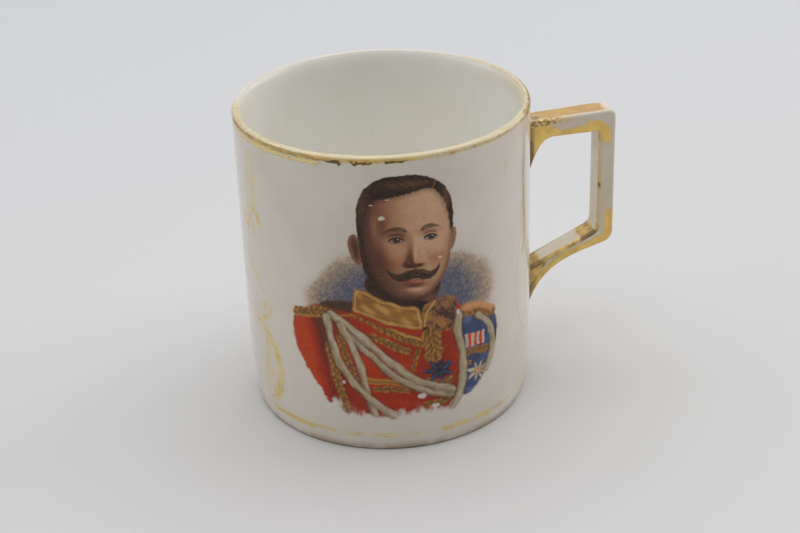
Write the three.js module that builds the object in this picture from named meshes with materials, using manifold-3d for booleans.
// A small straight-sided porcelain mug with an angular handle, gilt edges and a printed front.
// Millimetres, +Z up. The cup's own axis is vertical, the handle points along +X and the front faces -Y.
import * as THREE from "three";
import { mergeVertices } from "three/addons/utils/BufferGeometryUtils.js";
import Module from "manifold-3d";

const wasm = await Module();
wasm.setup();

// Driving dimensions of the cast cup.
const cupHeight = 69.5;
const cupRadius = 32.0;
const wallThickness = 2.2;
const tuckHeight = 21.0;
const tuckDepth = 1.3;
const footCornerRadius = 1.4;
const footRingWidth = 2.6;
const footRecess = 1.3;
const floorThickness = 3.2;
const floorFillet = 5.0;

// Driving dimensions of the cast handle.
const handleWidth = 5.7;
const handleDrop = 8.6;
const handleReach = 20.9;
const upperBarThickness = 4.3;
const upperBarRise = 0.6;
const gripThickness = 3.9;
const gripOpening = 24.3;
const lowerBarThickness = 3.7;
const lowerBarFall = 7.8;
const upperFlareReach = 6.5;
const upperFlareHeight = 10.0;
const upperFlarePull = 3.2;
const upperSeatPull = 6.9;
const upperSeatSlope = 73;
const lowerFlareHeight = 11.0;
const lowerSeatPull = 12.0;
const lowerSeatSlope = 74;
const heelPull = 9.0;
const heelTurn = 75;
const heelCornerRadius = 3.0;
const topCornerRadius = 1.6;
const innerTopRadius = 0.8;
const innerHeelRadius = 2.4;
const handleEdge = 0.5;

// Driving dimensions of the slip that sticks the handle on, and of the fired-on films.
const slipThickness = 0.5;
const slipBead = 0.45;
const seatGap = 0.15;
const filmGap = 0.05;
const filmThickness = 0.12;

// Driving dimensions of the decoration.
const rimBandDrop = 1.8;
const rimBandTurn = 120;
const footLineHeight = 4.0;
const footLineWidth = 0.7;
const transferWidth = 48.6;
const transferTrim = 0.1;
const transferTurn = -99;
const transferTopMargin = 2.3;
const transferFootMargin = 4.0;
const bustHeight = 43.0;
const headWidth = 22.0;
const headHeight = 29.0;
const headShift = 1.6;
const scrollMargin = 10.4;
const scrollLineWidth = 0.9;
const scrollSway = 3.4;
const scrollWaves = 2.6;
const scrollTopMargin = 1.2;
const scrollFootMargin = 1.4;
const handleLineWidth = 0.8;

// How finely the round shapes are faceted.
const wallFacets = 72;
const facetTurn = (2 * Math.PI) / wallFacets;
const arcSteps = 5;
const curveSteps = 12;
const wallSteps = 6;
const lipSteps = 6;
const edgeSteps = 2;
const transferRows = 10;
const scrollSteps = 48;

const porcelain = new THREE.MeshStandardMaterial({ color: 0xeeebe2, roughness: 0.12, metalness: 0 });
const firedSlip = new THREE.MeshStandardMaterial({ color: 0xe9e4d6, roughness: 0.2, metalness: 0 });
const gilding = new THREE.MeshStandardMaterial({ color: 0xc99a3e, roughness: 0.3, metalness: 1 });
const printedTransfer = new THREE.MeshStandardMaterial({ color: 0x9c5a45, roughness: 0.25, metalness: 0 });

const radians = THREE.MathUtils.degToRad;
const point = (x, y) => new THREE.Vector2(x, y);

// Points along a circular arc, both ends included.
function arc(centreX, centreY, radius, fromDegrees, toDegrees, steps = arcSteps) {
  const points = [];
  for (let i = 0; i <= steps; i += 1) {
    const turn = radians(fromDegrees + ((toDegrees - fromDegrees) * i) / steps);
    points.push(point(centreX + radius * Math.cos(turn), centreY + radius * Math.sin(turn)));
  }
  return points;
}

// Turns a half section in radius and height about the cup's axis.
function turned(halfSection) {
  const geometry = new THREE.LatheGeometry(halfSection, wallFacets);
  return geometry.rotateX(Math.PI / 2);
}

// A closed geometry as a solid that can be cut.
function solidOf(geometry) {
  const bare = geometry.clone();
  bare.deleteAttribute("normal");
  bare.deleteAttribute("uv");
  const merged = mergeVertices(bare, 1e-4);
  return new wasm.Manifold(
    new wasm.Mesh({
      numProp: 3,
      vertProperties: merged.attributes.position.array,
      triVerts: new Uint32Array(merged.index.array),
    }),
  );
}

// A cut solid back as a geometry.
function geometryOf(solid) {
  const mesh = solid.getMesh();
  const geometry = new THREE.BufferGeometry();
  geometry.setAttribute("position", new THREE.BufferAttribute(mesh.vertProperties, 3));
  geometry.setIndex(new THREE.BufferAttribute(mesh.triVerts, 1));
  geometry.computeVertexNormals();
  return geometry;
}

// The outside of the wall: straight above the tuck, and a shallow arc that draws in to the foot below it.
const tuckArcRadius = (tuckHeight * tuckHeight + tuckDepth * tuckDepth) / (2 * tuckDepth);
function wallRadius(height) {
  const below = Math.max(0, tuckHeight - height);
  return cupRadius - tuckArcRadius + Math.sqrt(tuckArcRadius * tuckArcRadius - below * below);
}

// The outside of the wall from a height up to the top of the tuck, as radius and height.
function tuckOutside(fromHeight, lift) {
  const points = [];
  for (let i = 0; i <= wallSteps; i += 1) {
    const height = fromHeight + ((tuckHeight - fromHeight) * i) / wallSteps;
    points.push(point(wallRadius(height) + lift, height));
  }
  return points;
}

// The cup: foot ring, tucked wall, round lip, inside and floor, as one half section.
const lipRadius = wallThickness / 2;
const lipHeight = cupHeight - lipRadius;
const lipCentre = cupRadius - lipRadius;
const innerRadius = cupRadius - wallThickness;
const floorHeight = footRecess + floorThickness;
const footRadius = wallRadius(footCornerRadius);
const ringInside = footRadius - footCornerRadius - footRingWidth;
const recessFillet = footRecess / 2;

function cupSection() {
  return [
    point(0, footRecess),
    ...arc(ringInside - recessFillet, footRecess - recessFillet, recessFillet, 90, 0),
    point(ringInside, 0),
    ...arc(footRadius - footCornerRadius, footCornerRadius, footCornerRadius, -90, 0),
    ...tuckOutside(footCornerRadius, 0).slice(1),
    ...arc(lipCentre, lipHeight, lipRadius, 0, 180, lipSteps),
    ...arc(innerRadius - floorFillet, floorHeight + floorFillet, floorFillet, 0, -90),
    point(0, floorHeight),
  ];
}

// A block of the cup's outside shape grown by a lift, which trims what seats on the wall.
function wallBlock(lift) {
  const side = [...tuckOutside(0, lift), point(cupRadius + lift, cupHeight)];
  return solidOf(turned([point(0, 0), ...side, point(0, cupHeight)]));
}

// The handle's side outline. Both contours start inside the wall and are trimmed to it afterwards.
const handleTop = cupHeight - handleDrop;
const upperSlope = Math.atan2(upperBarRise, handleReach);
const upperBarTop = (x) => handleTop + (x - cupRadius) * Math.tan(upperSlope);
const gripOutside = cupRadius + handleReach;
const gripInside = gripOutside - gripThickness;
const upperBarUnder = handleTop - upperBarThickness;
const innerHeel = upperBarUnder - gripOpening;
const heelUnder = innerHeel - lowerBarThickness;
const lowerSlope = Math.atan2(lowerBarFall, gripInside - cupRadius);
const lowerBarInside = (x) => innerHeel + (x - gripInside) * Math.tan(lowerSlope);
const wallBite = cupRadius - wallThickness / 2;
const upperSeatFoot = upperBarUnder - upperFlareHeight;
const lowerSeatFoot = lowerBarInside(cupRadius) - lowerFlareHeight;

// A place at a distance from another, in a direction given in degrees.
function stepFrom(start, distance, degrees) {
  const turn = radians(degrees);
  return point(start.x + distance * Math.cos(turn), start.y + distance * Math.sin(turn));
}

// Points along a curve that leaves its start and meets its end in the directions of two leads.
function curve(start, startLead, endLead, end) {
  return new THREE.CubicBezierCurve(start, startLead, endLead, end).getPoints(curveSteps);
}

// From the wall along the top, down the outside of the grip, round the heel and back to the wall.
function outerContour() {
  const topX = gripOutside - topCornerRadius;
  const topCentre = point(topX, upperBarTop(topX) - topCornerRadius / Math.cos(upperSlope));
  const topStart = 90 + THREE.MathUtils.radToDeg(upperSlope);
  const heelCentre = point(gripOutside - heelCornerRadius, heelUnder + heelCornerRadius);
  const heelEnd = stepFrom(heelCentre, heelCornerRadius, -heelTurn);
  const heelLead = stepFrom(heelEnd, heelPull, 270 - heelTurn);
  const seat = point(cupRadius, lowerSeatFoot);
  const seatLead = stepFrom(seat, lowerSeatPull, lowerSeatSlope);
  return [
    point(wallBite, upperBarTop(wallBite)),
    ...arc(topCentre.x, topCentre.y, topCornerRadius, topStart, 0),
    ...arc(heelCentre.x, heelCentre.y, heelCornerRadius, 0, -heelTurn),
    ...curve(heelEnd, heelLead, seatLead, seat).slice(1),
    point(wallBite, lowerSeatFoot),
  ];
}

// From the wall up the lower bar, up the inside of the grip, under the upper bar and down its flare.
function innerContour() {
  const heelTangent = innerHeelRadius * Math.tan((Math.PI / 2 - lowerSlope) / 2);
  const heelCentre = point(gripInside - innerHeelRadius, innerHeel + heelTangent);
  const heelStart = THREE.MathUtils.radToDeg(lowerSlope) - 90;
  const topCentre = point(gripInside - innerTopRadius, upperBarUnder - innerTopRadius);
  const flare = point(cupRadius + upperFlareReach, upperBarUnder);
  const flareLead = point(flare.x - upperFlarePull, flare.y);
  const seat = point(cupRadius, upperSeatFoot);
  const seatLead = stepFrom(seat, upperSeatPull, upperSeatSlope);
  return [
    point(wallBite, lowerBarInside(wallBite)),
    ...arc(heelCentre.x, heelCentre.y, innerHeelRadius, heelStart, 0),
    ...arc(topCentre.x, topCentre.y, innerTopRadius, 0, 90),
    ...curve(flare, flareLead, seatLead, seat),
    point(wallBite, upperSeatFoot),
  ];
}

const outerPoints = outerContour();
const innerPoints = innerContour();

// Stands a flat outline in x and height upright in the handle's plane, with its thickness along Y.
function upright(outline, thickness, middle, edge = 0) {
  const geometry = new THREE.ExtrudeGeometry(new THREE.Shape(outline), {
    depth: thickness - 2 * edge,
    bevelEnabled: edge > 0,
    bevelThickness: edge,
    bevelSize: edge,
    bevelOffset: -edge,
    bevelSegments: edgeSteps,
  });
  geometry.rotateX(Math.PI / 2);
  return geometry.translate(0, middle + thickness / 2 - edge, 0);
}

const slipLift = seatGap + slipThickness;
const handleLift = slipLift + seatGap;

function handleSolid() {
  const raw = solidOf(upright([...outerPoints, ...innerPoints], handleWidth, 0, handleEdge));
  return raw.subtract(wallBlock(handleLift));
}

// The part of a contour that lies beyond a distance from the cup's axis, with new ends at that distance.
function beyond(contour, distance) {
  const kept = [];
  contour.forEach((here, i) => {
    const before = contour[i - 1];
    if (before && before.x > distance !== here.x > distance) {
      kept.push(before.clone().lerp(here, (distance - before.x) / (here.x - before.x)));
    }
    if (here.x > distance) kept.push(here);
  });
  return kept;
}

// Slip squeezed between one end of the handle and the wall, standing a little proud all round the joint.
function slipJoint(low, high) {
  const half = handleWidth / 2 + slipBead;
  const outline = new THREE.Shape([
    point(-half, low - slipBead),
    point(half, low - slipBead),
    point(half, high + slipBead),
    point(-half, high + slipBead),
  ]);
  const pad = new THREE.ExtrudeGeometry(outline, { depth: cupRadius + handleLift, bevelEnabled: false });
  pad.rotateX(Math.PI / 2).rotateZ(Math.PI / 2);
  return solidOf(pad).intersect(wallBlock(slipLift)).subtract(wallBlock(seatGap));
}

const outerSeats = beyond(outerPoints, cupRadius + handleLift).map((place) => place.y);
const innerSeats = beyond(innerPoints, cupRadius + handleLift).map((place) => place.y);

// A point on the faceted wall, at an angle about the axis and a height, lifted off it.
function onWall(angle, height, lift) {
  const within = ((angle % facetTurn) + facetTurn) % facetTurn;
  const facetShare = Math.cos(facetTurn / 2) / Math.cos(within - facetTurn / 2);
  const radius = (wallRadius(height) + lift) * facetShare;
  return new THREE.Vector3(radius * Math.cos(angle), radius * Math.sin(angle), height);
}

// A closed film from a grid of places on the wall. Columns run anticlockwise about the axis, rows run up.
function wallFilm(columns) {
  const rows = columns[0].length;
  const positions = [];
  const faces = [];
  const lifts = [filmGap, filmGap + filmThickness];
  for (const lift of lifts) {
    for (const column of columns) {
      for (const [angle, height] of column) positions.push(...onWall(angle, height, lift).toArray());
    }
  }
  const at = (layer, column, row) => (layer * columns.length + column) * rows + row;
  const quad = (a, b, c, d) => faces.push(a, b, c, a, c, d);
  const lastColumn = columns.length - 1;
  const lastRow = rows - 1;
  for (let i = 0; i < lastColumn; i += 1) {
    for (let j = 0; j < lastRow; j += 1) {
      quad(at(1, i, j), at(1, i + 1, j), at(1, i + 1, j + 1), at(1, i, j + 1));
      quad(at(0, i, j), at(0, i, j + 1), at(0, i + 1, j + 1), at(0, i + 1, j));
    }
    quad(at(0, i, 0), at(0, i + 1, 0), at(1, i + 1, 0), at(1, i, 0));
    quad(at(0, i, lastRow), at(1, i, lastRow), at(1, i + 1, lastRow), at(0, i + 1, lastRow));
  }
  for (let j = 0; j < lastRow; j += 1) {
    quad(at(0, 0, j), at(1, 0, j), at(1, 0, j + 1), at(0, 0, j + 1));
    quad(at(0, lastColumn, j), at(0, lastColumn, j + 1), at(1, lastColumn, j + 1), at(1, lastColumn, j));
  }
  const geometry = new THREE.BufferGeometry();
  geometry.setAttribute("position", new THREE.Float32BufferAttribute(positions, 3));
  geometry.setIndex(faces);
  geometry.computeVertexNormals();
  return geometry;
}

// The gilt band over the lip, from just inside its crest down the outside.
function rimBand() {
  const bandFoot = cupHeight - rimBandDrop;
  const bandSteps = Math.ceil((lipSteps * rimBandTurn) / 180);
  const side = (lift) => [
    point(cupRadius + lift, bandFoot),
    ...arc(lipCentre, lipHeight, lipRadius + lift, 0, rimBandTurn, bandSteps),
  ];
  const inside = side(filmGap);
  const outside = side(filmGap + filmThickness);
  return turned([...outside, ...inside.reverse(), outside[0].clone()]);
}

// The gilt line round the foot.
function footLine() {
  const low = footLineHeight - footLineWidth / 2;
  const high = footLineHeight + footLineWidth / 2;
  const near = filmGap;
  const far = filmGap + filmThickness;
  const corners = [
    point(wallRadius(low) + far, low),
    point(wallRadius(high) + far, high),
    point(wallRadius(high) + near, high),
    point(wallRadius(low) + near, low),
  ];
  return turned([...corners, corners[0].clone()]);
}

// The printed transfer covers an oval bust with an oval head above it.
const transferTop = cupHeight - rimBandDrop - transferTopMargin;
const transferFoot = footLineHeight + transferFootMargin;
const bustMiddle = transferFoot + bustHeight / 2;
const headMiddle = transferTop - headHeight / 2;

function ellipseHalfHeight(across, halfWidth, halfHeight) {
  const share = Math.min(1, Math.abs(across) / halfWidth);
  return halfHeight * Math.sqrt(1 - share * share);
}

// One upright column of the transfer, from the foot of the bust to the top of the bust or the head.
function transferColumn(angle) {
  const across = (angle - radians(transferTurn)) * cupRadius;
  const bust = ellipseHalfHeight(across, transferWidth / 2, bustHeight / 2);
  const head = ellipseHalfHeight(across - headShift, headWidth / 2, headHeight / 2);
  const low = bustMiddle - bust;
  const high = head > 0 ? Math.max(bustMiddle + bust, headMiddle + head) : bustMiddle + bust;
  const column = [];
  for (let j = 0; j <= transferRows; j += 1) {
    column.push([angle, low + ((high - low) * j) / transferRows]);
  }
  return column;
}

function transferColumns() {
  const columnTurn = facetTurn / 2;
  const halfTurn = (transferWidth / 2 - transferTrim) / cupRadius;
  const start = radians(transferTurn) - halfTurn;
  const end = radians(transferTurn) + halfTurn;
  const columns = [transferColumn(start)];
  for (let i = Math.floor(start / columnTurn) + 1; i < end / columnTurn; i += 1) {
    columns.push(transferColumn(i * columnTurn));
  }
  columns.push(transferColumn(end));
  return columns;
}

// A gilt scroll beside the transfer: a stem that sways more and more on its way down the wall.
function scrollLine(side) {
  const middleTurn = radians(transferTurn) + (side * (transferWidth / 2 + scrollMargin)) / cupRadius;
  const top = cupHeight - rimBandDrop - scrollTopMargin;
  const foot = footLineHeight + footLineWidth / 2 + scrollFootMargin;
  const stem = [];
  for (let i = 0; i <= scrollSteps; i += 1) {
    const down = 1 - i / scrollSteps;
    const sway = scrollSway * down * Math.sin(2 * Math.PI * scrollWaves * down);
    stem.push(point(side * sway, top - (top - foot) * down));
  }
  const edges = [-0.5, 0.5].map((edge) =>
    stem.map((here, i) => {
      const before = stem[Math.max(0, i - 1)];
      const after = stem[Math.min(scrollSteps, i + 1)];
      const along = after.clone().sub(before).setLength(edge * scrollLineWidth);
      return [middleTurn + (here.x + along.y) / cupRadius, here.y - along.x];
    }),
  );
  return wallFilm(edges);
}

// A contour moved into the handle's material, and kept clear of the slip at the wall.
const goldStart = cupRadius + handleLift + slipBead;
function insetContour(contour, inset) {
  const moved = contour.map((here, i) => {
    const before = contour[Math.max(0, i - 1)];
    const after = contour[Math.min(contour.length - 1, i + 1)];
    const along = after.clone().sub(before).setLength(inset);
    return point(here.x + along.y, here.y - along.x);
  });
  return beyond(moved, goldStart);
}

// A gilt line along one edge of the handle's side face.
function handleLine(contour, face) {
  const near = insetContour(contour, handleEdge);
  const far = insetContour(contour, handleEdge + handleLineWidth);
  const middle = face * (handleWidth / 2 + filmGap + filmThickness / 2);
  return upright([...near, ...far.reverse()], filmThickness, middle);
}

// The gilt panel along the top of the handle's upper bar.
function topPanel() {
  const end = gripOutside - topCornerRadius;
  const edge = (lift) => [goldStart, end].map((x) => point(x, upperBarTop(x) + lift));
  const outline = [...edge(filmGap), ...edge(filmGap + filmThickness).reverse()];
  return upright(outline, handleWidth - 2 * handleEdge, 0);
}

const mug = new THREE.Group();

function add(name, geometry, material) {
  const mesh = new THREE.Mesh(geometry, material.clone());
  mesh.name = name;
  mug.add(mesh);
}

add("cup_body", turned(cupSection()), porcelain);
add("handle", geometryOf(handleSolid()), porcelain);
add("upper_slip_joint", geometryOf(slipJoint(innerSeats.at(-1), outerSeats[0])), firedSlip);
add("lower_slip_joint", geometryOf(slipJoint(outerSeats.at(-1), innerSeats[0])), firedSlip);
add("rim_gilding", rimBand(), gilding);
add("foot_gilding", footLine(), gilding);
add("portrait_transfer", wallFilm(transferColumns()), printedTransfer);
add("left_scroll_gilding", scrollLine(-1), gilding);
add("right_scroll_gilding", scrollLine(1), gilding);
for (const [side, face] of [["front", -1], ["back", 1]]) {
  add(`${side}_outer_handle_line`, handleLine(outerPoints, face), gilding);
  add(`${side}_inner_handle_line`, handleLine(innerPoints, face), gilding);
}
add("top_handle_panel", topPanel(), gilding);

// The origin is on the table, under the middle of the whole outline, so the cup's axis sits to its -X side.
const bandOutside = cupRadius + filmGap + filmThickness;
mug.position.x = (bandOutside - gripOutside) / 2;

export default mug;
